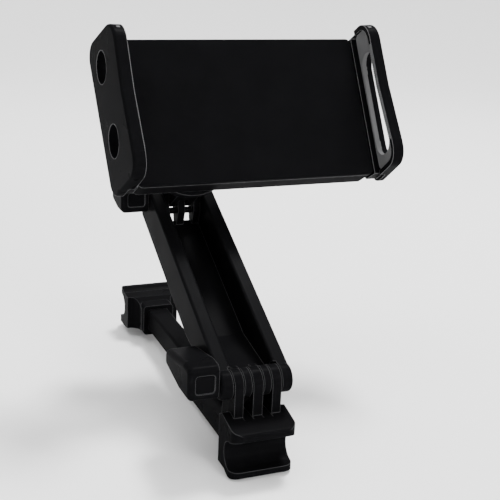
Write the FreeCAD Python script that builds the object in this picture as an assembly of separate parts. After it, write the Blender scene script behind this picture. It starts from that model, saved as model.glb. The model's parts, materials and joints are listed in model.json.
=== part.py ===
import FreeCAD, Part
import math
import os

# Tablet holder that braces between two headrest posts.
# Millimetres. X runs along the hinge pins and the posts, Y along the bar, Z up.
# The origin is the middle of the near post.

V = FreeCAD.Vector
ACROSS = V(1, 0, 0)
DEEP = V(0, 1, 0)
UP = V(0, 0, 1)

# Driving dimensions
POST_RADIUS = 7.0
POST_SPACING = 186.0
HOOK_WIDTH = 31.0
ROD_WIDTH = 11.5
ROD_HEIGHT = 13.0
ROD_LEVEL = 2.0
ARM_LENGTH = 129.0
ARM_WIDTH = 35.0
ARM_RIM = 7.0
ARM_LEAN = 26.6
PLATE_WIDTH = 130.0
PLATE_HEIGHT = 77.2
PLATE_DEPTH = 15.0
PLATE_LEAN = 59.2
JAW_REACH = 19.0
JAW_TRAVEL = 25.0
JAW_WALL = 3.6
JAW_SPLAY = 4.65
JAW_OUT = 7.8

# Fits and walls
TROUGH_RADIUS = POST_RADIUS + 0.1
HOOK_RADIUS = 10.7
SLIDE_GAP = 0.25
FACE_GAP = 0.3
PIN_RADIUS = 2.5
PIN_BORE = PIN_RADIUS + 0.05
LOWER_BARREL = 6.8
UPPER_BARREL = 6.5
HALF_ARM = ARM_WIDTH / 2
CHEEK_IN = HALF_ARM - ARM_RIM
ARM_FRONT = 5.5
ARM_BACK = -15.5

# Places
LOWER_HINGE = V(0, 13.0, 29.6)
LEAN = math.radians(ARM_LEAN)
UPPER_HINGE = LOWER_HINGE + V(0, ARM_LENGTH * math.cos(LEAN), ARM_LENGTH * math.sin(LEAN))
TUBE_HALF = 9.5
TUBE_LOW = ROD_LEVEL - 9.5
TUBE_HIGH = ROD_LEVEL + 9.5
TUBE_END = 92.0
ROD_START = 56.0
FAR_POST_LEVEL = 2 * ROD_LEVEL
FINGER_HALF = 11.4
LEDGE = 15.0
WASHER = 0.5
PLATE_LEFT = -33.0
PLATE_RIGHT = PLATE_LEFT + PLATE_WIDTH
PLATE_LOW = -6.4
PLATE_TOP = PLATE_LOW + PLATE_HEIGHT
PLATE_FRONT = -42.9
PLATE_REAR = PLATE_FRONT + PLATE_DEPTH
JAW_LOW = PLATE_LOW - 2.7
JAW_TOP = PLATE_TOP + 5.6
SWIVEL_Z = 14.4
PINION_X = 40.0
PINION_Z = 31.4
PINION_PITCH = 8.0
PINION_TEETH = 16
TOOTH_STEP = 2 * math.pi * PINION_PITCH / PINION_TEETH


def box(x0, x1, y0, y1, z0, z1):
    return Part.makeBox(x1 - x0, y1 - y0, z1 - z0, V(x0, y0, z0))


def rod_x(x0, x1, y, z, radius):
    return Part.makeCylinder(radius, x1 - x0, V(x0, y, z), ACROSS)


def rod_y(y0, y1, x, z, radius):
    return Part.makeCylinder(radius, y1 - y0, V(x, y0, z), DEEP)


def side_prism(x0, x1, points):
    """A closed side outline of (y, z) points, extruded along X."""
    wire = Part.makePolygon([V(x0, y, z) for y, z in points + points[:1]])
    return Part.Face(wire).extrude(V(x1 - x0, 0, 0))


def front_prism(y0, y1, points):
    """A closed front outline of (x, z) points, extruded along Y."""
    wire = Part.makePolygon([V(x, y0, z) for x, z in points + points[:1]])
    return Part.Face(wire).extrude(V(0, y1 - y0, 0))


def round_edges(shape, radius, wanted):
    """Fillet every edge of the shape for which wanted(edge) holds."""
    edges = [edge for edge in shape.Edges if wanted(edge)]
    return shape.makeFillet(radius, edges)


def along(edge, axis):
    """True for a straight edge parallel to the axis."""
    if edge.Curve.TypeId != "Part::GeomLine":
        return False
    way = edge.Vertexes[-1].Point - edge.Vertexes[0].Point
    return abs(abs(way.normalize().dot(axis)) - 1) < 1e-6


def rounded_box(x0, x1, y0, y1, z0, z1, radius, axis):
    """A box whose four edges along one axis are rounded."""
    return round_edges(box(x0, x1, y0, y1, z0, z1), radius, lambda edge: along(edge, axis))


def slot_x(x0, x1, y0, y1, z0, z1):
    """A through slot along X with round ends."""
    return rounded_box(x0, x1, y0, y1, z0, z1, min(y1 - y0, z1 - z0) / 2 - 0.01, ACROSS)


def in_arm(shape):
    """Carry a shape from the arm's own frame to the row frame."""
    shape.rotate(V(0, 0, 0), ACROSS, ARM_LEAN)
    shape.translate(LOWER_HINGE)
    return shape


def in_head(shape):
    """Carry a shape from the head's own frame to the row frame."""
    shape.rotate(V(0, 0, 0), ACROSS, PLATE_LEAN - 90)
    shape.translate(UPPER_HINGE)
    return shape


def hook_solid(crown):
    """The post hook: a round trough open to -Y, a thin lip above under its crown and a shorter flange below."""
    half = HOOK_WIDTH / 2
    lip = crown[0][0]
    flange = -3.4
    below = [(22.0, -4.0), (15.0, -9.0), (6.0, -9.0), (0.0, 0.0), (0.0, 7.0)]
    hook = side_prism(-half, half, [(lip, 9.4)] + crown + below)
    soft = 0.47 * (crown[0][1] - 9.4)
    hook = round_edges(hook, soft, lambda edge: along(edge, ACROSS) and edge.BoundBox.YMax < lip + 0.1)
    hook = hook.fuse(rod_x(-half, half, 0, 0, HOOK_RADIUS))
    mouth = [(-20.0, -TROUGH_RADIUS), (0.0, -TROUGH_RADIUS), (0.0, TROUGH_RADIUS), (lip, 9.4), (lip, 20.0),
             (-20.0, 20.0)]
    hook = hook.cut(side_prism(-half - 1, half + 1, mouth))
    hook = hook.cut(rod_x(-half - 1, half + 1, 0, 0, TROUGH_RADIUS))
    hook = hook.common(rounded_front(lip, 5.5, 0.0, 20.0).fuse(rounded_front(flange, 4.5, -20.0, 0.0)))
    waist = box(-half - 1, -TUBE_HALF, 14.0, 40.0, -20.0, 20.0)
    waist = round_edges(waist, 6.0, lambda edge: along(edge, UP) and edge.BoundBox.YMax < 15
                        and edge.BoundBox.XMin > -TUBE_HALF - 0.1)
    hook = hook.cut(waist)
    return hook.cut(waist.mirror(V(0, 0, 0), ACROSS))


def rounded_front(front, radius, z0, z1):
    """A block as wide as the hook whose two front corners are rounded in plan."""
    half = HOOK_WIDTH / 2
    block = box(-half, half, front, 30.0, z0, z1)
    return round_edges(block, radius, lambda edge: along(edge, UP) and edge.BoundBox.YMax < front + 0.1)


def base_body():
    """One moulding: near hook, slide tube and the three ribs that end as the lower hinge's fingers."""
    tube = rounded_box(-TUBE_HALF, TUBE_HALF, 12.0, TUBE_END, TUBE_LOW, TUBE_HIGH, 2.5, DEEP)
    body = hook_solid([(-6.2, 13.0), (11.0, 16.5), (22.0, 11.5)]).fuse(tube)
    y, z = LOWER_HINGE.y, LOWER_HINGE.z
    foot = [(y - LOWER_BARREL, 12.0), (y - LOWER_BARREL, z), (y + LOWER_BARREL, z), (y + 9.0, TUBE_HIGH - 1)]
    block = side_prism(-FINGER_HALF, FINGER_HALF, foot)
    body = body.fuse(block.fuse(rod_x(-FINGER_HALF, FINGER_HALF, y, z, LOWER_BARREL)))
    for side in (-1, 1):
        x0, x1 = sorted((side * 2.4, side * 7.0))
        body = body.cut(box(x0, x1, y - 12, y + 14, LEDGE, z + 12))
    body = body.cut(rod_x(-40, 40, y, z, PIN_BORE))
    half = ROD_WIDTH / 2 + SLIDE_GAP
    low = ROD_LEVEL - ROD_HEIGHT / 2 - SLIDE_GAP
    bore = rounded_box(-half, half, 24.0, TUBE_END + 1, low, low + ROD_HEIGHT + 2 * SLIDE_GAP, 1.5, DEEP)
    return body.cut(bore).removeSplitter()


def slide_rod():
    """The square rod that carries the far hook, drilled for the spring."""
    half = ROD_WIDTH / 2
    low = ROD_LEVEL - ROD_HEIGHT / 2
    rod = rounded_box(-half, half, ROD_START, POST_SPACING - 12, low, low + ROD_HEIGHT, 1.25, DEEP)
    rod = rod.cut(rod_y(ROD_START - 1, ROD_START + 30, 0, ROD_LEVEL, 4.0))
    for y in (POST_SPACING - 22.5, POST_SPACING - 15.5):
        rod = rod.cut(Part.makeCylinder(1.25, 8.0, V(0, y, ROD_LEVEL - 9.5)))
    return rod


def far_hook():
    """The second hook, turned half round about the rod, with a socket for the rod."""
    hook = hook_solid([(-6.2, 11.8), (6.0, 11.8), (22.0, 9.6)])
    hook.rotate(V(0, 0, 0), ACROSS, 180)
    hook.translate(V(0, POST_SPACING, FAR_POST_LEVEL))
    half = ROD_WIDTH / 2 + 0.05
    low = ROD_LEVEL - ROD_HEIGHT / 2 - 0.05
    socket = rounded_box(-9.0, 9.0, POST_SPACING - 26, POST_SPACING - 9, ROD_LEVEL - 9, ROD_LEVEL + 9, 2.0,
                         DEEP)
    hook = hook.fuse(socket)
    bore = rounded_box(-half, half, POST_SPACING - 30, POST_SPACING - 11.9, low, low + ROD_HEIGHT + 0.1, 1.2,
                       DEEP)
    hook = hook.cut(bore)
    for y in (POST_SPACING - 22.5, POST_SPACING - 15.5):
        hook = hook.cut(Part.makeCylinder(1.25, 8.0, V(0, y, ROD_LEVEL - 9.5)))
    return hook.removeSplitter()


def far_hook_screws():
    """Two pan-head screws from below that hold the far hook to the rod."""
    screws = []
    for y in (POST_SPACING - 22.5, POST_SPACING - 15.5):
        shank = Part.makeCylinder(1.2, 7.0, V(0, y, ROD_LEVEL - 9.0))
        screws.append(shank.fuse(Part.makeCylinder(2.2, 1.4, V(0, y, ROD_LEVEL - 10.4))))
    return Part.makeCompound(screws)


def slide_spring():
    """The compression spring in the tube that pushes the rod outwards, wound from six-sided wire."""
    turns = 7
    length = 60.0
    radius = 3.1
    path = Part.Wire(Part.makeHelix(length / turns, length, radius).Edges)
    wire = 0.45
    turn = math.pi / 3
    corners = [V(radius + wire * math.cos(turn * k), 0, wire * math.sin(turn * k)) for k in range(7)]
    coil = path.makePipeShell([Part.makePolygon(corners)], True, True)
    coil.rotate(V(0, 0, 0), ACROSS, -90)
    coil.translate(V(0, 25.0, ROD_LEVEL))
    return coil


def arm_side(x0, x1):
    """One cheek of the arm: tapered to the lower pin, deep in the middle, square past the upper pin."""
    length = ARM_LENGTH
    outline = [(3.6, ARM_FRONT), (length - 2, ARM_FRONT), (length + 6.5, -2.0),
               (length + 6.5, ARM_BACK + 4.5), (length + 2, ARM_BACK), (48, ARM_BACK), (28, -11.5), (4, -5.5)]
    cheek = side_prism(x0, x1, outline)
    cheek = round_edges(cheek, 3.0, lambda edge: along(edge, ACROSS) and edge.BoundBox.YMin > length - 4)
    cheek = round_edges(cheek, 1.2, lambda edge: along(edge, DEEP))
    barrel = rod_x(x0, x1, 0, 0, LOWER_BARREL)
    barrel = round_edges(barrel, 1.6, lambda edge: abs(edge.BoundBox.XMin) > HALF_ARM - 0.1
                         and edge.BoundBox.XLength < 0.1)
    cheek = cheek.fuse(barrel)
    return cheek.fuse(rod_x(x0, x1, length, 0, UPPER_BARREL))


def arm_channel():
    """The U-shaped arm: two cheeks, a web behind, a cross bar under the head, inner fingers at both ends."""
    length = ARM_LENGTH
    arm = arm_side(-HALF_ARM, -CHEEK_IN).fuse(arm_side(CHEEK_IN, HALF_ARM))
    web = [(9.2, -3.4), (9.2, -6.8), (36, ARM_BACK), (length - 8, ARM_BACK), (length - 8, ARM_BACK + 3.5),
           (38, ARM_BACK + 3.5)]
    arm = arm.fuse(side_prism(-CHEEK_IN - 1, CHEEK_IN + 1, web))
    lower = [(0, -LOWER_BARREL + 0.1), (9.5, -LOWER_BARREL), (14, -8.2), (14, -5.0), (5, 1.0), (0, 3.0)]
    for side in (-1, 1):
        x0, x1 = sorted((side * 3.0, side * 6.4))
        arm = arm.fuse(side_prism(x0, x1, lower).fuse(rod_x(x0, x1, 0, 0, LOWER_BARREL)))
    upper = [(length, 6.0), (length - 3, 6.0), (length - 10, -4.0), (length - 11, ARM_BACK + 3),
             (length - 11, ARM_BACK), (length - 8, ARM_BACK), (length, -6.3)]
    for x0, x1 in ((-CHEEK_IN - 1, -6.8), (-2.0, 2.0), (6.8, CHEEK_IN + 1)):
        arm = arm.fuse(side_prism(x0, x1, upper).fuse(rod_x(x0, x1, length, 0, UPPER_BARREL)))
    arm = arm.fuse(rod_x(-CHEEK_IN - 1, CHEEK_IN + 1, length - 6.0, -6.18, 1.75))
    outer = FINGER_HALF + 0.6
    for x0, x1 in ((-outer, -6.4), (-3.0, 3.0), (6.4, outer)):
        heel = rod_x(x0, x1, 0, 0, LOWER_BARREL + 3.6).common(box(x0, x1, -20, 20, -20, -2))
        arm = arm.cut(rod_x(x0, x1, 0, 0, LOWER_BARREL + 1.0).fuse(heel))
    arm = arm.cut(rod_x(-40, 40, 0, 0, PIN_BORE)).cut(rod_x(-40, 40, length, 0, PIN_BORE))
    arm = arm.cut(rod_x(HALF_ARM - 2.6, HALF_ARM + 1, 0, 0, 5.2))
    arm = arm.cut(rod_x(HALF_ARM - 2.6, HALF_ARM + 1, length, 0, 4.8))
    return in_arm(arm.removeSplitter())


def pin(x0, x1, head_radius, head):
    """A hinge bolt along X with a low round head at its right end."""
    bolt = rod_x(x0, x1, 0, 0, PIN_RADIUS)
    return bolt.fuse(rod_x(x1, x1 + head, 0, 0, head_radius))


def ring(x0, x1, inner, outer):
    return rod_x(x0, x1, 0, 0, outer).cut(rod_x(x0 - 1, x1 + 1, 0, 0, inner))


def lower_bolt():
    bolt = pin(-HALF_ARM - 11.5, HALF_ARM - 2.5, 5.0, 2.2)
    bolt.translate(LOWER_HINGE)
    return bolt


def washers(gaps, radius, place):
    """Thin friction washers, one in the middle of each gap between hinge fingers."""
    rings = []
    for middle in gaps:
        washer = ring(middle - WASHER / 2, middle + WASHER / 2, PIN_RADIUS + 0.1, radius)
        washer.translate(place)
        rings.append(washer)
    return Part.makeCompound(rings)


def lower_washers():
    return washers((-11.7, -6.7, -2.7, 2.7, 6.7, 11.7), LOWER_BARREL - 0.5, LOWER_HINGE)


def upper_washers():
    return washers((-6.55, -2.25, 2.25, 6.55), UPPER_BARREL - 0.5, UPPER_HINGE)


def lever_block(outline):
    """A tapered thumb block beside the arm with rounded ends and a sunk panel in its front."""
    x0 = -HALF_ARM - 15.2
    x1 = -HALF_ARM - 0.7
    front = min(y for y, z in outline)
    rear = max(y for y, z in outline)
    low = min(z for y, z in outline)
    high = max(z for y, z in outline if y < front + 1)
    block = side_prism(x0, x1, outline)
    block = round_edges(block, 3.2, lambda edge: along(edge, ACROSS)
                        and (edge.BoundBox.YMax < front + 0.1 or edge.BoundBox.YMin > rear - 0.1))
    block = round_edges(block, 2.6, lambda edge: edge.BoundBox.XMax < x0 + 0.1)
    panel = rounded_box(x0 + 3.2, x1 - 2.0, front - 1, front + 0.6, low + 3.6, high - 3.6, 1.5, DEEP)
    return block.cut(panel)


def hinge_lever():
    """The thumb lever on the end of the lower bolt; the bolt passes low through its front end."""
    lever = lever_block([(-4.8, -4.6), (-4.8, 11.6), (4, 12.0), (31, 7.2), (31, -0.6), (10, -4.6)])
    lever = lever.cut(rod_x(-HALF_ARM - 12.7, 0, 0, 0, 3.3))
    lever.translate(LOWER_HINGE)
    return lever


def upper_lever():
    """The thumb lever on the end of the upper bolt, with a six-sided pocket for its nut."""
    lever = lever_block([(-6.6, -7.4), (-6.6, 7.4), (4, 7.4), (15, 5.4), (15, -4.4), (4, -7.4)])
    lever = lever.cut(rod_x(-HALF_ARM - 12.7, 0, 0, 0, PIN_BORE))
    lever = lever.cut(hexagon(-HALF_ARM - 4.4, 0, 8.2))
    lever.translate(UPPER_HINGE)
    return lever


def lever_insert():
    """The threaded metal bush pressed into the lever."""
    bush = ring(-HALF_ARM - 12.4, -HALF_ARM - 0.8, PIN_BORE, 3.3)
    bush.translate(LOWER_HINGE)
    return bush


def head_link():
    """The tilting head: two fingers on the upper bolt and a round swivel disc."""
    disc = rod_y(PLATE_REAR + FACE_GAP, PLATE_REAR + 6.3, 0, SWIVEL_Z, 23.0)
    disc = round_edges(disc, 1.5, lambda edge: edge.BoundBox.YMin > PLATE_REAR + 6)
    outline = [(PLATE_REAR + 1, -5.6), (PLATE_REAR + 1, 18.4), (PLATE_REAR + 9, 18.4),
               (UPPER_BARREL - 3, 5.0), (3.0, -5.0), (-3.0, -6.3)]
    neck = side_prism(-6.3, 6.3, outline)
    neck = neck.fuse(rod_x(-6.3, 6.3, 0, 0, UPPER_BARREL))
    neck = neck.cut(rod_x(-2.5, 2.5, 0, 0, UPPER_BARREL + 5.0))
    head = disc.fuse(neck)
    head = head.cut(rod_x(-40, 40, 0, 0, PIN_BORE))
    head = head.cut(rod_y(PLATE_REAR - 1, 10, 0, SWIVEL_Z, 3.05))
    head = head.cut(rod_y(PLATE_REAR + 4, 30, 0, SWIVEL_Z, 6.5))
    return in_head(head.removeSplitter())


def upper_bolt():
    bolt = pin(-HALF_ARM - 11.5, HALF_ARM - 2.5, 4.6, 2.0)
    bolt.translate(UPPER_HINGE)
    return bolt


def hexagon(x0, x1, across):
    """A six-sided prism along X."""
    radius = across / math.sqrt(3)
    points = [(radius * math.cos(math.pi * k / 3), radius * math.sin(math.pi * k / 3)) for k in range(6)]
    return side_prism(x0, x1, points)


def upper_nut():
    nut = hexagon(-HALF_ARM - 4.3, -HALF_ARM - 1.0, 8.0).cut(rod_x(-40, 0, 0, 0, PIN_BORE))
    nut.translate(UPPER_HINGE)
    return nut


def swivel_washer():
    """The plain washer under the head of the swivel screw."""
    washer = rod_y(PLATE_REAR + 4.0, PLATE_REAR + 4.8, 0, SWIVEL_Z, 6.2)
    return in_head(washer.cut(rod_y(PLATE_REAR, PLATE_REAR + 6, 0, SWIVEL_Z, 3.1)))


def swivel_screw():
    """The shoulder screw that holds the disc to the rear housing."""
    screw = rod_y(PLATE_REAR - 4.0, PLATE_REAR + 4.9, 0, SWIVEL_Z, 3.0)
    screw = screw.fuse(rod_y(PLATE_REAR + 4.9, PLATE_REAR + 7.2, 0, SWIVEL_Z, 5.5))
    return in_head(screw)


def housing_outline(inset):
    """The rounded front outline shared by the housing and the front plate."""
    return (PLATE_LEFT + inset, PLATE_RIGHT - inset, PLATE_LOW + inset, PLATE_TOP - inset)


def rear_housing():
    """The tray behind the front plate, with guides for the two jaw tongues."""
    x0, x1, z0, z1 = housing_outline(0)
    tray = rounded_box(x0, x1, PLATE_FRONT + 3, PLATE_REAR, z0, z1, 3.0, DEEP)
    hollow = rounded_box(x0 + 2.5, x1 - 2.5, PLATE_FRONT, PLATE_REAR - 2.5, z0 + 2.5, z1 - 2.5, 1.5, DEEP)
    tray = tray.cut(hollow)
    tray = tray.fuse(rod_y(PLATE_REAR - 6, PLATE_REAR - 1, 0, SWIVEL_Z, 8.0))
    tray = tray.cut(rod_y(PLATE_REAR - 4.0, PLATE_REAR + 1, 0, SWIVEL_Z, 3.05))
    for x, z in screw_places():
        tray = tray.fuse(rod_y(PLATE_FRONT + 3, PLATE_REAR - 1, x, z, 3.5))
        tray = tray.cut(rod_y(PLATE_FRONT + 2, PLATE_REAR + 1, x, z, 1.55))
        tray = tray.cut(rod_y(PLATE_REAR - 2.0, PLATE_REAR + 1, x, z, 3.1))
    for low in tongue_levels():
        gap = box(x0 - 1, x1 + 1, PLATE_FRONT + 3.2, PLATE_REAR - 4.6, low - SLIDE_GAP, low + 10 + SLIDE_GAP)
        keep = box(x0 + 4, x1 - 4, PLATE_FRONT, PLATE_REAR, z0, z1)
        tray = tray.cut(gap.cut(keep))
    return in_head(tray.removeSplitter())


def screw_places():
    """The four corners where the housing screws sit."""
    return [(x, z) for x in (PLATE_LEFT + 9, PLATE_RIGHT - 9) for z in (PLATE_LOW + 8, PLATE_TOP - 8)]


def tongue_levels():
    """The lower edges of the right and the left tongue."""
    return (PINION_Z - PINION_PITCH - 9.4, PINION_Z + PINION_PITCH - 0.6)


def front_plate():
    """The flat cover between the jaws, softened all round."""
    x0, x1, z0, z1 = housing_outline(0)
    plate = rounded_box(x0, x1, PLATE_FRONT, PLATE_FRONT + 2.9, z0, z1, 3.0, DEEP)
    plate = round_edges(plate, 1.0, lambda edge: edge.BoundBox.YMax < PLATE_FRONT + 0.1)
    for x, z in screw_places():
        plate = plate.fuse(rod_y(PLATE_FRONT + 1.5, PLATE_FRONT + 2.95, x, z, 3.0))
        plate = plate.cut(rod_y(PLATE_FRONT + 1.6, PLATE_FRONT + 4, x, z, 1.55))
    plate = plate.fuse(rod_y(PLATE_FRONT + 2.5, PLATE_FRONT + 10.5, PINION_X, PINION_Z, 2.4))
    return in_head(plate.removeSplitter())


def housing_screws():
    """Four countersunk screws from behind, one group of solids."""
    screws = []
    for x, z in screw_places():
        shank = rod_y(PLATE_FRONT + 1.7, PLATE_REAR - 2.0, x, z, 1.5)
        screws.append(in_head(shank.fuse(rod_y(PLATE_REAR - 2.0, PLATE_REAR - 0.4, x, z, 3.0))))
    return Part.makeCompound(screws)


def jaw_slab(x0, x1, inset):
    """The jaw's side outline drawn in by the inset: leaning back, round corners, a front flared at the foot."""
    front = PLATE_FRONT - JAW_REACH + inset
    low = JAW_LOW + inset
    top = JAW_TOP - inset
    corners = [(PLATE_REAR + 0.4, low, 9.0), (PLATE_REAR + 9.0, top, 9.0), (front, top - 2.5, 12.0),
               (front, JAW_LOW + 46, 0), (front - 3.5, JAW_LOW + 14, 0), (front - 3.5, low + 3.0, 9.0)]
    slab = side_prism(x0, x1, [(y, z) for y, z, radius in corners])
    for y, z, radius in corners:
        if radius:
            slab = round_edges(slab, radius - inset, lambda edge: along(edge, ACROSS)
                               and abs(edge.BoundBox.YMin - y) < 0.1 and abs(edge.BoundBox.ZMin - z) < 0.1)
    return slab


def jaw_wall(slots):
    """The left jaw's wall, splayed outwards: soft rim, lip along its front, end block beside the plate, slots."""
    front = PLATE_FRONT - JAW_REACH
    wall = jaw_slab(0, JAW_WALL, 0)
    wall = round_edges(wall, 1.4, lambda edge: edge.BoundBox.XMax < 0.1)
    lip = jaw_slab(JAW_WALL - 0.5, JAW_WALL + 2.9, 0).cut(jaw_slab(0, JAW_WALL + 4, 2.7))
    lip = lip.common(box(0, JAW_WALL + 4, front - 10, PLATE_FRONT - 1, JAW_LOW - 5, JAW_TOP + 5))
    wall = wall.fuse(lip).removeSplitter()
    wall.rotate(V(0, front, 0), UP, JAW_SPLAY)
    wall.translate(V(PLATE_LEFT - JAW_OUT, 0, 0))
    block = [(PLATE_FRONT + 0.5, PLATE_LOW), (PLATE_REAR - 4, PLATE_LOW), (PLATE_REAR, PLATE_LOW + 5),
             (PLATE_REAR, PLATE_TOP - 5), (PLATE_REAR - 4, PLATE_TOP), (PLATE_FRONT + 0.5, PLATE_TOP)]
    wall = wall.fuse(side_prism(PLATE_LEFT - JAW_OUT - 1, PLATE_LEFT - 0.5, block))
    for y0, y1, z0, z1 in slots:
        wall = wall.cut(slot_x(PLATE_LEFT - 16, PLATE_LEFT + 6, y0, y1, z0, z1))
    return wall


def rack(low, teeth_down, x0, x1):
    """A tongue with a straight toothed edge that meshes with the pinion."""
    bar = box(x0, x1, PLATE_FRONT + 3.5, PLATE_REAR - 5.0, low, low + 10)
    edge = low if teeth_down else low + 10
    way = 1 if teeth_down else -1
    count = int(JAW_TRAVEL / TOOTH_STEP) + 2
    for k in range(-count, count + 1):
        x = PINION_X + k * TOOTH_STEP
        if abs(x - PINION_X) < JAW_TRAVEL + 5:
            points = [(x - 1.15, edge - way), (x + 1.15, edge - way), (x + 0.62, edge + 2.2 * way),
                      (x - 0.62, edge + 2.2 * way)]
            bar = bar.cut(front_prism(PLATE_FRONT + 3, PLATE_REAR - 4, points))
    return bar


def left_jaw():
    """The left jaw: wall with two short slots, bead and its toothed tongue."""
    places = ((PLATE_FRONT - 6.0, PLATE_LOW + 15.6), (PLATE_FRONT - 2.5, PLATE_LOW + 55.6))
    jaw = jaw_wall([(y, y + 15, low, low + 17) for y, low in places])
    low = tongue_levels()[1]
    jaw = jaw.fuse(rack(low, True, PLATE_LEFT - JAW_OUT, PINION_X + JAW_TRAVEL + 6))
    return in_head(jaw.removeSplitter())


def right_jaw():
    """The right jaw: mirrored wall with one long slot, bead and its toothed tongue."""
    jaw = jaw_wall([(PLATE_FRONT - 15.7, PLATE_FRONT - 1.5, PLATE_LOW + 8.0, PLATE_LOW + 65.0)])
    jaw = jaw.mirror(V((PLATE_LEFT + PLATE_RIGHT) / 2, 0, 0), ACROSS)
    low = tongue_levels()[0]
    jaw = jaw.fuse(rack(low, False, PINION_X - JAW_TRAVEL - 6, PLATE_RIGHT + JAW_OUT))
    return in_head(jaw.removeSplitter())


def pinion():
    """The small gear that makes both jaws open together."""
    gear = rod_y(PLATE_FRONT + 3.6, PLATE_REAR - 5.1, PINION_X, PINION_Z, PINION_PITCH - 1.3)
    for k in range(PINION_TEETH):
        tooth = front_prism(PLATE_FRONT + 3.6, PLATE_REAR - 5.1, [
            (PINION_X - 1.15, PINION_Z - 6.0), (PINION_X + 1.15, PINION_Z - 6.0),
            (PINION_X + 0.45, PINION_Z - PINION_PITCH - 0.8),
            (PINION_X - 0.45, PINION_Z - PINION_PITCH - 0.8)])
        tooth.rotate(V(PINION_X, 0, PINION_Z), DEEP, 360 * k / PINION_TEETH)
        gear = gear.fuse(tooth)
    gear = gear.cut(rod_y(PLATE_FRONT, PLATE_REAR, PINION_X, PINION_Z, 2.45))
    return in_head(gear.removeSplitter())


NODES = {
    "base_body": base_body,
    "slide_rod": slide_rod,
    "far_hook": far_hook,
    "far_hook_screws": far_hook_screws,
    "slide_spring": slide_spring,
    "arm_channel": arm_channel,
    "lower_bolt": lower_bolt,
    "lower_washers": lower_washers,
    "hinge_lever": hinge_lever,
    "lever_insert": lever_insert,
    "upper_lever": upper_lever,
    "head_link": head_link,
    "upper_bolt": upper_bolt,
    "upper_nut": upper_nut,
    "upper_washers": upper_washers,
    "swivel_washer": swivel_washer,
    "swivel_screw": swivel_screw,
    "rear_housing": rear_housing,
    "front_plate": front_plate,
    "housing_screws": housing_screws,
    "left_jaw": left_jaw,
    "right_jaw": right_jaw,
    "pinion": pinion,
}

os.makedirs("parts", exist_ok=True)
for name, make in NODES.items():
    shape = make()
    shape.exportStep("parts/" + name + ".step")
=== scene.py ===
import json
import math

import bpy
import numpy as np
from mathutils import Matrix, Vector


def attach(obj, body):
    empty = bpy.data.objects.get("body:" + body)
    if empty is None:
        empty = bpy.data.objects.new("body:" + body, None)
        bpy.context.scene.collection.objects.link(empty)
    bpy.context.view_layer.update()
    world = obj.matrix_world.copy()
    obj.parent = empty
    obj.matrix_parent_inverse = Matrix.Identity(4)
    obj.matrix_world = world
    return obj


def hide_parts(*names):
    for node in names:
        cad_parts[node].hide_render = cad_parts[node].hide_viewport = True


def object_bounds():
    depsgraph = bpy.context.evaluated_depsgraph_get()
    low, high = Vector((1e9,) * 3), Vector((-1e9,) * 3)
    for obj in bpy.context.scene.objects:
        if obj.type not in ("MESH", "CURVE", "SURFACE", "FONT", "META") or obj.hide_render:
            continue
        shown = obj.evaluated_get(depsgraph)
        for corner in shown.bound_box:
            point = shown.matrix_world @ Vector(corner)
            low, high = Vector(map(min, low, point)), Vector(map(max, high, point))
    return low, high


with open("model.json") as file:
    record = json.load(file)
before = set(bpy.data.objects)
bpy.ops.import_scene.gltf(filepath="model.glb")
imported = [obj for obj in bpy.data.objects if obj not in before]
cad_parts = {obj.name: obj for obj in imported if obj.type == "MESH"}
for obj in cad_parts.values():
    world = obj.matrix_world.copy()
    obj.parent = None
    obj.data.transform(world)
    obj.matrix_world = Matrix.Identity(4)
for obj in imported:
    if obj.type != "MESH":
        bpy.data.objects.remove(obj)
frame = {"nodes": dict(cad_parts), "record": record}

CAD_BOX = [list(map(float, corner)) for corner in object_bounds()]
BODY_OF = {node: body for body, nodes in frame["record"]["behaviour"]["bodies"].items() for node in nodes}

bl_info = {
    "name": "Headrest Tablet Holder",
    "version": (1, 0, 0),
    "blender": (4, 5, 0),
    "location": "View3D > Sidebar > Holder",
    "description": "Finishes a folding tablet holder and sets it in a pale studio",
    "category": "Object",
}

SATIN_NODES = ("base_body", "far_hook", "hinge_lever", "upper_lever")
JAW_NODES = ("left_jaw", "right_jaw")
ARM_NODES = ("arm_channel", "head_link", "slide_rod", "pinion")
PLATE_NODES = ("front_plate", "rear_housing")
STEEL_NODES = (
    "far_hook_screws", "lower_bolt", "upper_bolt", "upper_nut", "swivel_washer", "swivel_screw",
    "housing_screws", "slide_spring",
)
FIBRE_NODES = ("lower_washers", "upper_washers")
BRASS_NODES = ("lever_insert",)

# Places that the solids share, in metres
LOWER_HINGE = np.array((0.0, 0.0130, 0.0296))
UPPER_HINGE = np.array((0.0, 0.128346, 0.087361))
HEAD_LEAN = math.radians(-30.8)
HEAD_AXES = np.array((
    (1.0, 0.0, 0.0),
    (0.0, math.cos(HEAD_LEAN), math.sin(HEAD_LEAN)),
    (0.0, -math.sin(HEAD_LEAN), math.cos(HEAD_LEAN)),
))
PLATE_FRONT = -0.0429
PLATE_REAR = -0.0279
PLATE_MIDDLE = 0.032
LIP_FRONT = PLATE_FRONT - 0.019
LIP_WIDTH = 0.0065
JAW_OUTER = 0.0408
PAD_FRONT = LIP_FRONT + 0.0024
PAD_REAR = PLATE_FRONT - 0.0004
PAD_LOW = -0.0052
PAD_TOP = 0.0716
PAD_FACE = -0.0362
PAD_WINDOW = ((PLATE_FRONT - 0.0157, 0.0016), (PLATE_FRONT - 0.0015, 0.0586), 0.0070)
PAD_CORNER = 0.0030
PAD_FOOT = 0.0030
PAD_POINTS = 96
PAD_DRAWN_IN = 0.02
PAD_SHOULDER = 0.94
JAW_SPLAY = math.radians(4.65)
GRIP_LOW = 0.0060
GRIP_TOP = 0.0600
GRIP_FRONT = 0.0004
GRIP_REAR = 0.0025
GRIP_RISE = 0.00008
GRIP_SUNK = 0.0003
LIP_LEAN_LEVELS = (0.0049, 0.0369)
LIP_LEAN = (-0.0035, 0.0)

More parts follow.
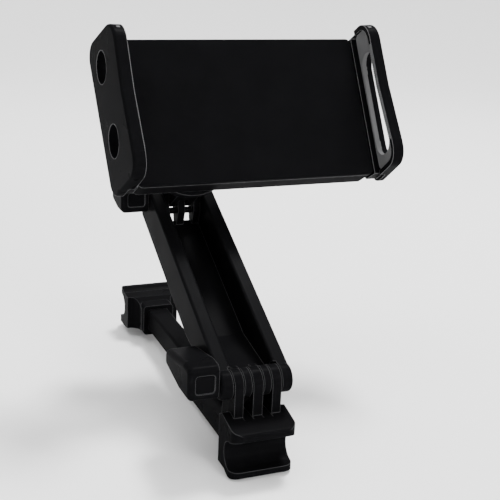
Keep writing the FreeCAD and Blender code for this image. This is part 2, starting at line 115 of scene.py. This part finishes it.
# Shank radius, shank length, head radius, head height and recess depth of each fastener, in metres
LOWER_BOLT = (0.0025, 0.0440, 0.0050, 0.0022, 0.0016)
UPPER_BOLT = (0.0025, 0.0440, 0.0046, 0.0020, 0.0015)
HOUSING_SCREW = (0.0015, 0.0113, 0.0030, 0.0016, 0.0011)
FAR_HOOK_SCREW = (0.0012, 0.0070, 0.0022, 0.0014, 0.0009)
SWIVEL_SCREW = (0.0030, 0.0089, 0.0055, 0.0023, 0.0016)

# Where the fasteners start, in metres, and which way they point
BOLT_START = (-0.029, 0.0, 0.0)
HOUSING_SCREWS_ACROSS = (-0.024, 0.088)
HOUSING_SCREWS_UP = (0.0016, 0.0628)
HOUSING_SCREW_INSET = 0.0017
SWIVEL_INSET = 0.004
SWIVEL_LEVEL = 0.0144
FAR_HOOK_SCREWS_ALONG = (0.1635, 0.1705)
RIGHTWARDS = (1.0, 0.0, 0.0)
DOWNWARDS = (0.0, 0.0, -1.0)
BACKWARDS = HEAD_AXES[1]
HEAD_ANGLES = np.arange(48) * math.pi / 24
CROSS_REACH = 4.2
FAR_HOOK_CROSS = 0.85
SWIVEL_CROSS = 1.9
RECESS_TAPER = 0.92
OFF_AXIS = (0.31, 0.67, 0.67)

# Surfaces: textures per metre, heights in metres, and the cosines at which the painted edge highlight starts
# and is full
PATCH_SCALE = 60.0
MARK_SCALE = 900.0
FINE_GRAIN = 0.00002
COARSE_GRAIN = 0.00004
FIBRE_GRAIN = 0.00006
MARK_HEIGHT = 0.00003
EDGE_START = 0.975
EDGE_FULL = 0.80
EDGE_SAMPLES = 6
PLASTIC_IOR = 1.027
NOISE_LOW = 0.3
NOISE_HIGH = 0.7
TINT_DARK = 0.8
TINT_PALE = 1.25
GRAIN_STRENGTH = 0.35
MARK_STRENGTH = 0.2
FINE_SPREAD = 0.05
COARSE_SPREAD = 0.06
RUBBER_ROUGHNESS = 0.62
RUBBER_SPREAD = 0.08
FIBRE_ROUGHNESS = 0.7
FIBRE_SPREAD = 0.1
STEEL_ROUGHNESS = 0.32
BRASS_ROUGHNESS = 0.30
METAL_SPREAD = 0.08
SHARP_ANGLE = math.radians(28)

# Place, aim and width of each light, and the camera's place and axes, in metres
KEY_LIGHT = ((0.45, 0.45, 1.3), (0.03, 0.1, 0.08), 0.3)
FRONT_LIGHT = ((0.30, -0.95, 0.55), (0.0, 0.05, 0.06), 0.35)
SKY_LIGHT = ((-0.3, 0.6, 2.6), (0.0, 0.4, 0.0), 3.2)
AIR_STRENGTH = 0.16
FLOOR_GAP = 0.001
FLOOR_REACH = 4.0
FLOOR_BEND = 1.2
FLOOR_POINTS = 81
FLOOR_ROUGHNESS = 0.9
CAMERA_PLACE = Vector((-0.1664, -0.3746, 0.2315))
CAMERA_RIGHT = Vector((0.9273, -0.3717, 0.0436))
CAMERA_UP = Vector((0.0780, 0.3060, 0.9488))
CAMERA_BACK = Vector((-0.3661, -0.8765, 0.3127))
SENSOR_WIDTH = 36.0


class HolderFinish(bpy.types.PropertyGroup):
    """Colours and grain of the moulded and the metal pieces."""

    black: bpy.props.FloatVectorProperty(
        name="Black", description="Colour of the moulded plastic", subtype="COLOR", size=3,
        default=(0.0038, 0.0038, 0.0042), min=0.0, max=1.0)
    satin_roughness: bpy.props.FloatProperty(
        name="Satin roughness", description="Mean roughness of the hooks, lever and jaws", default=0.30,
        min=0.0, max=1.0, subtype="FACTOR")
    arm_roughness: bpy.props.FloatProperty(
        name="Arm roughness", description="Mean roughness of the arm, head and rod", default=0.33,
        min=0.0, max=1.0, subtype="FACTOR")
    plate_roughness: bpy.props.FloatProperty(
        name="Plate roughness", description="Mean roughness of the front plate and housing", default=0.52,
        min=0.0, max=1.0, subtype="FACTOR")
    grain_size: bpy.props.FloatProperty(
        name="Grain size", description="Width of one grain of the moulded texture", default=0.0004,
        min=0.00005, unit="LENGTH")
    # Painted highlight: a paler colour mixed into the rounded edges of the base, hooks, levers, arm, head and
    # rod, standing in for the light they catch
    painted_edge_highlight: bpy.props.FloatVectorProperty(
        name="Edge sheen", description="Colour of the rounded edges, which catch the light", subtype="COLOR",
        size=3, default=(0.065, 0.065, 0.067), min=0.0, max=1.0)
    # Painted highlight, stronger: the paler colour mixed into the rounded edges of the jaws, the plate and the
    # housing
    painted_clamp_highlight: bpy.props.FloatVectorProperty(
        name="Clamp sheen", description="Colour of the rounded edges of the jaws and the plate",
        subtype="COLOR", size=3, default=(0.20, 0.20, 0.205), min=0.0, max=1.0)
    # The edge radius also sets how far the painted edge highlight reaches onto each face
    edge_radius: bpy.props.FloatProperty(
        name="Edge radius", description="Softness that the light shows on moulded edges", default=0.0007,
        min=0.0, unit="LENGTH")
    rubber: bpy.props.FloatVectorProperty(
        name="Rubber", description="Colour of the jaws' rubber pads", subtype="COLOR", size=3,
        default=(0.105, 0.105, 0.107), min=0.0, max=1.0)
    steel: bpy.props.FloatVectorProperty(
        name="Steel", description="Colour of the plated fasteners", subtype="COLOR", size=3,
        default=(0.30, 0.30, 0.31), min=0.0, max=1.0)
    brass: bpy.props.FloatVectorProperty(
        name="Brass", description="Colour of the threaded bush", subtype="COLOR", size=3,
        default=(0.62, 0.45, 0.18), min=0.0, max=1.0)


class HolderDetail(bpy.types.PropertyGroup):
    """Sizes of the fasteners' drive recesses and of the ribs on the jaws' lips."""

    socket: bpy.props.FloatProperty(
        name="Socket", description="Width across the flats of the bolts' six-sided sockets", default=0.004,
        min=0.001, unit="LENGTH")
    cross: bpy.props.FloatProperty(
        name="Cross", description="Half width of the arms of the screws' cross recesses", default=0.0004,
        min=0.0001, unit="LENGTH")
    rib_pitch: bpy.props.FloatProperty(
        name="Rib pitch", description="Distance from rib to rib on the jaws' lips", default=0.0012,
        min=0.0004, unit="LENGTH")
    rib_height: bpy.props.FloatProperty(
        name="Rib height", description="Height of the ribs on the jaws' lips", default=0.00035,
        min=0.0, unit="LENGTH")


class HolderStage(bpy.types.PropertyGroup):
    """Floor, lights and camera of the studio."""

    floor: bpy.props.FloatVectorProperty(
        name="Floor", description="Colour of the studio floor", subtype="COLOR", size=3,
        default=(0.93, 0.93, 0.93), min=0.0, max=1.0)
    key_power: bpy.props.FloatProperty(
        name="Key power", description="Power of the light above the object", default=30.0, min=0.0,
        unit="POWER")
    front_power: bpy.props.FloatProperty(
        name="Front power", description="Power of the small light behind the camera", default=8.5, min=0.0,
        unit="POWER")
    sky_power: bpy.props.FloatProperty(
        name="Sky power", description="Power of the wide light that whitens the floor", default=95.0, min=0.0,
        unit="POWER")
    lens: bpy.props.FloatProperty(
        name="Lens", description="Focal length of the camera", default=72.95, min=1.0, unit="CAMERA")


def plain_material(name):
    """A new material with its node tree and its shader."""
    material = bpy.data.materials.new(name)
    material.use_nodes = True
    tree = material.node_tree
    return material, tree, tree.nodes["Principled BSDF"]


def noise(tree, coords, scale, detail):
    """A noise texture on Object coordinates."""
    node = tree.nodes.new("ShaderNodeTexNoise")
    node.inputs["Scale"].default_value = scale
    node.inputs["Detail"].default_value = detail
    tree.links.new(coords.outputs["Object"], node.inputs["Vector"])
    return node


def ranged(tree, source, low, high):
    """The middle of the noise's values spread over low to high."""
    node = tree.nodes.new("ShaderNodeMapRange")
    node.inputs["From Min"].default_value = NOISE_LOW
    node.inputs["From Max"].default_value = NOISE_HIGH
    node.inputs["To Min"].default_value = low
    node.inputs["To Max"].default_value = high
    tree.links.new(source.outputs["Fac"], node.inputs["Value"])
    return node


def moulded_plastic(name, black, sheen, roughness, spread, grain_size, grain_height, edge_radius):
    """Moulded plastic: fine grain as bump, slow patches in gloss and in black, and a painted highlight on the
    edges.

    An edge is where the normal rounded over the edge radius turns away from the face's own; there the sheen
    colour is mixed into the base colour as a painted highlight.
    """
    material, tree, shader = plain_material(name)
    coords = tree.nodes.new("ShaderNodeTexCoord")
    patches = noise(tree, coords, PATCH_SCALE, 3.0)
    gloss = ranged(tree, patches, roughness - spread, roughness + spread)
    tree.links.new(gloss.outputs["Result"], shader.inputs["Roughness"])
    tint = tree.nodes.new("ShaderNodeMix")
    tint.data_type = "RGBA"
    tint.inputs["A"].default_value = (*[TINT_DARK * part for part in black], 1.0)
    tint.inputs["B"].default_value = (*[TINT_PALE * part for part in black], 1.0)
    tree.links.new(patches.outputs["Fac"], tint.inputs["Factor"])
    edge = tree.nodes.new("ShaderNodeBevel")
    edge.samples = EDGE_SAMPLES
    edge.inputs["Radius"].default_value = edge_radius
    face = tree.nodes.new("ShaderNodeNewGeometry")
    turn = tree.nodes.new("ShaderNodeVectorMath")
    turn.operation = "DOT_PRODUCT"
    tree.links.new(edge.outputs["Normal"], turn.inputs[0])
    tree.links.new(face.outputs["Normal"], turn.inputs[1])
    # Mask of the painted edge highlight: zero on flat faces, one where the rounded normal has turned far
    # enough
    rounded = tree.nodes.new("ShaderNodeMapRange")
    rounded.inputs["From Min"].default_value = EDGE_START
    rounded.inputs["From Max"].default_value = EDGE_FULL
    tree.links.new(turn.outputs["Value"], rounded.inputs["Value"])
    # Painted highlight: the sheen colour mixed into the black along the edges
    painted_highlight_mix = tree.nodes.new("ShaderNodeMix")
    painted_highlight_mix.data_type = "RGBA"
    painted_highlight_mix.inputs["B"].default_value = (*sheen, 1.0)
    tree.links.new(rounded.outputs["Result"], painted_highlight_mix.inputs["Factor"])
    tree.links.new(tint.outputs["Result"], painted_highlight_mix.inputs["A"])
    tree.links.new(painted_highlight_mix.outputs["Result"], shader.inputs["Base Color"])
    grain = noise(tree, coords, 1.0 / grain_size, 2.0)
    bump = tree.nodes.new("ShaderNodeBump")
    bump.inputs["Strength"].default_value = GRAIN_STRENGTH
    bump.inputs["Distance"].default_value = grain_height
    tree.links.new(grain.outputs["Fac"], bump.inputs["Height"])
    tree.links.new(edge.outputs["Normal"], bump.inputs["Normal"])
    tree.links.new(bump.outputs["Normal"], shader.inputs["Normal"])
    shader.inputs["IOR"].default_value = PLASTIC_IOR
    return material


def turned_metal(name, colour, roughness):
    """Plated metal: fine turning marks as bump and uneven gloss."""
    material, tree, shader = plain_material(name)
    coords = tree.nodes.new("ShaderNodeTexCoord")
    marks = noise(tree, coords, MARK_SCALE, 4.0)
    gloss = ranged(tree, marks, roughness - METAL_SPREAD, roughness + METAL_SPREAD)
    tree.links.new(gloss.outputs["Result"], shader.inputs["Roughness"])
    bump = tree.nodes.new("ShaderNodeBump")
    bump.inputs["Strength"].default_value = MARK_STRENGTH
    bump.inputs["Distance"].default_value = MARK_HEIGHT
    tree.links.new(marks.outputs["Fac"], bump.inputs["Height"])
    tree.links.new(bump.outputs["Normal"], shader.inputs["Normal"])
    shader.inputs["Base Color"].default_value = (*colour, 1.0)
    shader.inputs["Metallic"].default_value = 1.0
    return material


def mirrored(rings, side):
    """Rings of the left jaw, or for the right one their mirror image, each ring turned the other way."""
    if side > 0:
        return rings
    return rings[:, ::-1] * (-1.0, 1.0, 1.0) + (2 * PLATE_MIDDLE, 0.0, 0.0)


def in_head(points):
    """Points of the head's own frame turned by its lean and moved to the upper hinge."""
    return points @ HEAD_AXES + UPPER_HINGE


def joined_rings(name, blocks, material):
    """A mesh from blocks of closed rings whose neighbours are joined by quads.

    An open block has a flat cap at each end; in a looped one the last ring is joined to the first.
    """
    points, faces, first = [], [], 0
    for rings, looped in blocks:
        count, size = rings.shape[:2]
        start = first + np.arange(count if looped else count - 1)[:, None] * size
        ahead = first + (start - first + size) % (count * size)
        here = np.arange(size)[None, :]
        after = np.roll(here, -1, axis=1)
        quads = np.stack([start + here, start + after, ahead + after, ahead + here], axis=-1)
        faces += quads.reshape(-1, 4).tolist()
        if not looped:
            faces.append((first + np.arange(size)[::-1]).tolist())
            faces.append((first + (count - 1) * size + np.arange(size)).tolist())
        points.append(rings.reshape(-1, 3))
        first += count * size
    mesh = bpy.data.meshes.new(name)
    mesh.from_pydata(np.concatenate(points).tolist(), [], faces)
    mesh.polygons.foreach_set("use_smooth", np.ones(len(mesh.polygons), dtype=bool))
    mesh.set_sharp_from_angle(angle=SHARP_ANGLE)
    mesh.materials.append(material)
    piece = bpy.data.objects.new(name, mesh)
    bpy.context.scene.collection.objects.link(piece)
    return piece


def socket_outline(angles, across):
    """Polar radius of a six-sided socket: half its width over the cosine of the angle from a flat."""
    return 0.5 * across / np.cos(angles % (math.pi / 3) - math.pi / 6)


def cross_outline(angles, reach, half_width):
    """Polar radius of a cross: the nearer of the end and the side of the arm that the angle points along."""
    turn = (angles + math.pi / 4) % (math.pi / 2) - math.pi / 4
    return np.minimum(reach / np.cos(turn), half_width / np.maximum(np.abs(np.sin(turn)), 1e-6))


def drive_angles(reach, half_width):
    """Even angles round a head, with the corners of a cross recess among them."""
    corner = math.atan2(half_width, reach)
    quarters = np.arange(4) * math.pi / 2
    corners = np.concatenate([quarters + corner, quarters - corner]) % (2 * math.pi)
    return np.unique(np.round(np.concatenate([HEAD_ANGLES, corners]), 9))


def fastener_rings(start, axis, sizes, recess, angles):
    """Rings of a headed fastener: a circle per step of its turned profile, then the recess, level and sunk.

    Each ring lies at its height along the axis from the start, at its polar radius round it.
    """
    shank, length, head, thick, deep = sizes
    steps = [
        (0.0, 0.86 * shank),
        (0.14 * shank, shank),
        (length, shank),
        (length, 0.97 * head),
        (length + 0.08 * thick, head),
        (length + 0.72 * thick, head),
        (length + 0.93 * thick, 0.93 * head),
        (length + thick, 0.84 * head),
    ]
    heights = np.array([step[0] for step in steps] + [length + thick, length + thick - deep])
    round_part = np.outer([step[1] for step in steps], np.ones_like(angles))
    radii = np.concatenate([round_part, recess[None, :], RECESS_TAPER * recess[None, :]])
    side = np.cross(axis, OFF_AXIS)
    side = side / np.linalg.norm(side)
    way = np.cos(angles)[:, None] * side + np.sin(angles)[:, None] * np.cross(axis, side)
    return np.asarray(start) + heights[:, None, None] * np.asarray(axis) + radii[:, :, None] * way[None]


def rounded_loop(low, high, radius, count):
    """A closed loop round a rectangle with round corners, evenly spread in angle about its middle.

    Each point is where a ray from the middle leaves the rounded rectangle, found by halving its length.
    """
    angles = 2 * math.pi * np.arange(count) / count
    middle = 0.5 * (np.asarray(low) + high)
    half = 0.5 * (np.asarray(high) - low)
    way = np.stack([np.cos(angles), np.sin(angles)], axis=1) * half
    near, far = np.zeros(count), np.full(count, 1.5)
    for _ in range(40):
        guess = 0.5 * (near + far)
        over = np.maximum(np.abs(way * guess[:, None]) - (half - radius), 0.0)
        inside = np.linalg.norm(over, axis=1) < radius
        near, far = np.where(inside, guess, near), np.where(inside, far, guess)
    return middle + way * near[:, None]


def splayed(x, y, z):
    """Points of the left jaw's wall, turned by its splay about its front edge."""
    turned_x = x * math.cos(JAW_SPLAY) - y * math.sin(JAW_SPLAY) - JAW_OUTER
    turned_y = x * math.sin(JAW_SPLAY) + y * math.cos(JAW_SPLAY) + LIP_FRONT
    return np.stack([turned_x, turned_y, z], axis=-1)


def grip_rings(pitch, height):
    """The left lip's grip: a low profile carried up the lip, its height a raised cosine of the distance."""
    level = np.arange(GRIP_LOW, GRIP_TOP, pitch / 8)
    lean = np.interp(level, LIP_LEAN_LEVELS, LIP_LEAN)
    wave = 0.5 - 0.5 * np.cos(2 * math.pi * (level - level[0]) / pitch)
    across = np.array((GRIP_FRONT, GRIP_FRONT, GRIP_REAR, GRIP_REAR))
    crest = LIP_WIDTH + GRIP_RISE + height * wave
    foot = np.full_like(wave, LIP_WIDTH - GRIP_SUNK)
    x = np.stack([foot, crest, crest, foot], axis=1)
    return splayed(x, across[None, :] + lean[:, None], np.repeat(level[:, None], 4, axis=1))


def pad_rings():
    """The left jaw's pad: a six-cornered section carried round a loop, from the window to the outer edge.

    Seen from the side the section spans the window's loop and the outer loop. Across, it runs from inside the
    wall to the pad's face, and the face's two edges are drawn in a little.
    """
    outer = rounded_loop((PAD_FRONT, PAD_LOW), (PAD_REAR, PAD_TOP), PAD_CORNER, PAD_POINTS)
    inner = rounded_loop(*PAD_WINDOW, PAD_POINTS)
    soft = PAD_DRAWN_IN * (outer - inner)
    sides = np.stack([inner, inner, inner + soft, outer - soft, outer, outer], axis=1)
    wall = -JAW_OUTER + PAD_FOOT - (sides[..., 0] - LIP_FRONT) * math.tan(JAW_SPLAY)
    face = np.full(sides.shape[:2], PAD_FACE)
    depth = np.array((0.0, PAD_SHOULDER, 1.0, 1.0, PAD_SHOULDER, 0.0))
    x = wall + depth * (face - wall)
    return np.stack([x, sides[..., 0], sides[..., 1]], axis=-1)


def dress(names, material):
    """Give each named CAD node the material in all its slots."""
    for name in names:
        node = frame["nodes"][name]
        if not node.material_slots:
            node.data.materials.append(material)
        for slot in node.material_slots:
            slot.material = material


class HOLDER_OT_moulded(bpy.types.Operator):
    """Finish the hooks, lever, jaws, arm, head and plate in black moulded plastic, with painted highlights on
    the rounded edges
    """

    bl_idname = "holder.moulded"
    bl_label = "Moulded pieces"

    def execute(self, context):
        look = context.scene.holder_finish
        sheen = tuple(look.painted_edge_highlight)
        clamp_highlight_colour = tuple(look.painted_clamp_highlight)
        # The jaws and the plate get the brighter painted edge highlight, the other pieces the fainter one
        finishes = (
            (SATIN_NODES, "satin_black", sheen, look.satin_roughness, FINE_SPREAD, FINE_GRAIN),
            (JAW_NODES, "jaw_black", clamp_highlight_colour, look.satin_roughness, FINE_SPREAD, FINE_GRAIN),
            (ARM_NODES, "arm_black", sheen, look.arm_roughness, FINE_SPREAD, FINE_GRAIN),
            (PLATE_NODES, "plate_black", clamp_highlight_colour, look.plate_roughness, COARSE_SPREAD, COARSE_GRAIN),
        )
        for nodes, name, edge, roughness, spread, grain in finishes:
            plastic = moulded_plastic(
                name, tuple(look.black), edge, roughness, spread, look.grain_size, grain, look.edge_radius)
            dress(nodes, plastic)
        return {"FINISHED"}


class HOLDER_OT_grips(bpy.types.Operator):
    """Fit each jaw with a windowed rubber pad and a ribbed grip along its lip"""

    bl_idname = "holder.grips"
    bl_label = "Jaw grips"

    def execute(self, context):
        look = context.scene.holder_finish
        detail = context.scene.holder_detail
        colour = tuple(look.rubber)
        rubber = moulded_plastic(
            "grip_rubber", colour, colour, RUBBER_ROUGHNESS, RUBBER_SPREAD, look.grain_size, COARSE_GRAIN, 0.0)
        grip = grip_rings(detail.rib_pitch, detail.rib_height)
        pad = pad_rings()
        for name, side in (("left_jaw", 1), ("right_jaw", -1)):
            blocks = [(in_head(mirrored(grip, side)), False), (in_head(mirrored(pad, side)), True)]
            piece = joined_rings(name + "_pad", blocks, rubber)
            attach(piece, name)
        return {"FINISHED"}


class HOLDER_OT_fasteners(bpy.types.Operator):
    """Turn the bolts and screws with their drive recesses and finish all metal pieces"""

    bl_idname = "holder.fasteners"
    bl_label = "Fasteners"

    def execute(self, context):
        look = context.scene.holder_finish
        detail = context.scene.holder_detail
        steel = turned_metal("plated_steel", tuple(look.steel), STEEL_ROUGHNESS)
        dress(STEEL_NODES, steel)
        black = tuple(look.black)
        fibre = moulded_plastic(
            "black_fibre", black, black, FIBRE_ROUGHNESS, FIBRE_SPREAD, look.grain_size, FIBRE_GRAIN, 0.0)
        dress(FIBRE_NODES, fibre)
        dress(BRASS_NODES, turned_metal("turned_brass", tuple(look.brass), BRASS_ROUGHNESS))
        socket = socket_outline(HEAD_ANGLES, detail.socket)
        reach = CROSS_REACH * detail.cross
        angles = drive_angles(reach, detail.cross)
        cross = cross_outline(angles, reach, detail.cross)
        corners = [
            (x, PLATE_FRONT + HOUSING_SCREW_INSET, z)
            for x in HOUSING_SCREWS_ACROSS for z in HOUSING_SCREWS_UP]
        swivel = in_head(np.array((0.0, PLATE_REAR - SWIVEL_INSET, SWIVEL_LEVEL)))
        made = {
            "lower_bolt": [
                fastener_rings(LOWER_HINGE + BOLT_START, RIGHTWARDS, LOWER_BOLT, socket, HEAD_ANGLES)],
            "upper_bolt": [
                fastener_rings(UPPER_HINGE + BOLT_START, RIGHTWARDS, UPPER_BOLT, socket, HEAD_ANGLES)],
            "housing_screws": [
                fastener_rings(place, BACKWARDS, HOUSING_SCREW, cross, angles)
                for place in in_head(np.array(corners))],
            "far_hook_screws": [
                fastener_rings((0.0, y, 0.0), DOWNWARDS, FAR_HOOK_SCREW, FAR_HOOK_CROSS * cross, angles)
                for y in FAR_HOOK_SCREWS_ALONG],
            "swivel_screw": [fastener_rings(swivel, BACKWARDS, SWIVEL_SCREW, SWIVEL_CROSS * cross, angles)],
        }
        for node, blocks in made.items():
            piece = joined_rings(node + "_turned", [(rings, False) for rings in blocks], steel)
            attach(piece, BODY_OF[node])
            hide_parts(node)
        return {"FINISHED"}


def panel_light(name, place, aim, size, power):
    """A square area light of the given size that faces its aim."""
    data = bpy.data.lights.new(name, "AREA")
    data.size = size
    data.energy = power
    light = bpy.data.objects.new(name, data)
    light.location = place
    light.rotation_euler = (Vector(aim) - Vector(place)).to_track_quat("-Z", "Y").to_euler()
    bpy.context.scene.collection.objects.link(light)


def floor_sheet(level, reach, bend):
    """A floor like a wide bowl: flat up to the bend, then rising with the square of the distance past it."""
    line = np.linspace(-reach, reach, FLOOR_POINTS)
    across, along = np.meshgrid(line, line)
    rise = np.clip((np.hypot(across, along) - bend) / (reach - bend), 0.0, 1.0)
    points = np.stack([across, along, level + reach * rise ** 2], axis=-1).reshape(-1, 3)
    cells = np.arange(FLOOR_POINTS - 1)
    corner = cells[:, None] * FLOOR_POINTS + cells[None, :]
    ahead = corner + FLOOR_POINTS
    faces = np.stack([corner, corner + 1, ahead + 1, ahead], axis=-1).reshape(-1, 4)
    mesh = bpy.data.meshes.new("studio_floor")
    mesh.from_pydata(points.tolist(), [], faces.tolist())
    mesh.polygons.foreach_set("use_smooth", np.ones(len(faces), dtype=bool))
    sheet = bpy.data.objects.new("studio_floor", mesh)
    bpy.context.scene.collection.objects.link(sheet)
    return sheet


class HOLDER_OT_stage(bpy.types.Operator):
    """Set the pale floor, the soft lights and the camera"""

    bl_idname = "holder.stage"
    bl_label = "Stage"

    def execute(self, context):
        stage = context.scene.holder_stage
        material, _, shader = plain_material("studio_white")
        shader.inputs["Base Color"].default_value = (*stage.floor, 1.0)
        shader.inputs["Roughness"].default_value = FLOOR_ROUGHNESS
        sheet = floor_sheet(CAD_BOX[0][2] - FLOOR_GAP, FLOOR_REACH, FLOOR_BEND)
        sheet.data.materials.append(material)
        world = bpy.data.worlds.new("studio_air")
        world.use_nodes = True
        air = world.node_tree.nodes["Background"]
        air.inputs["Color"].default_value = (1.0, 1.0, 1.0, 1.0)
        air.inputs["Strength"].default_value = AIR_STRENGTH
        context.scene.world = world
        panel_light("key_light", *KEY_LIGHT, stage.key_power)
        panel_light("front_light", *FRONT_LIGHT, stage.front_power)
        panel_light("sky_light", *SKY_LIGHT, stage.sky_power)
        data = bpy.data.cameras.new("photo_camera")
        data.lens = stage.lens
        data.sensor_width = SENSOR_WIDTH
        camera = bpy.data.objects.new("photo_camera", data)
        turn = Matrix((CAMERA_RIGHT, CAMERA_UP, CAMERA_BACK)).transposed()
        camera.matrix_world = Matrix.Translation(CAMERA_PLACE) @ turn.to_4x4()
        context.scene.collection.objects.link(camera)
        context.scene.camera = camera
        return {"FINISHED"}


class HOLDER_PT_panel(bpy.types.Panel):
    """Lists the holder's steps and settings"""

    bl_idname = "HOLDER_PT_panel"
    bl_label = "Tablet Holder"
    bl_space_type = "VIEW_3D"
    bl_region_type = "UI"
    bl_category = "Holder"

    def draw(self, context):
        for operator in OPERATORS:
            self.layout.operator(operator.bl_idname)
        scene = context.scene
        for group in (scene.holder_finish, scene.holder_detail, scene.holder_stage):
            for name in group.bl_rna.properties.keys():
                if name not in {"rna_type", "name"}:
                    self.layout.prop(group, name)


OPERATORS = (HOLDER_OT_moulded, HOLDER_OT_grips, HOLDER_OT_fasteners, HOLDER_OT_stage)
CLASSES = (HolderFinish, HolderDetail, HolderStage, *OPERATORS, HOLDER_PT_panel)


def register():
    for cls in CLASSES:
        bpy.utils.register_class(cls)
    bpy.types.Scene.holder_finish = bpy.props.PointerProperty(type=HolderFinish)
    bpy.types.Scene.holder_detail = bpy.props.PointerProperty(type=HolderDetail)
    bpy.types.Scene.holder_stage = bpy.props.PointerProperty(type=HolderStage)


def unregister():
    del bpy.types.Scene.holder_stage
    del bpy.types.Scene.holder_detail
    del bpy.types.Scene.holder_finish
    for cls in reversed(CLASSES):
        bpy.utils.unregister_class(cls)


def main():
    register()
    bpy.ops.holder.moulded()
    bpy.ops.holder.grips()
    bpy.ops.holder.fasteners()
    bpy.ops.holder.stage()


if __name__ == "__main__":
    main()
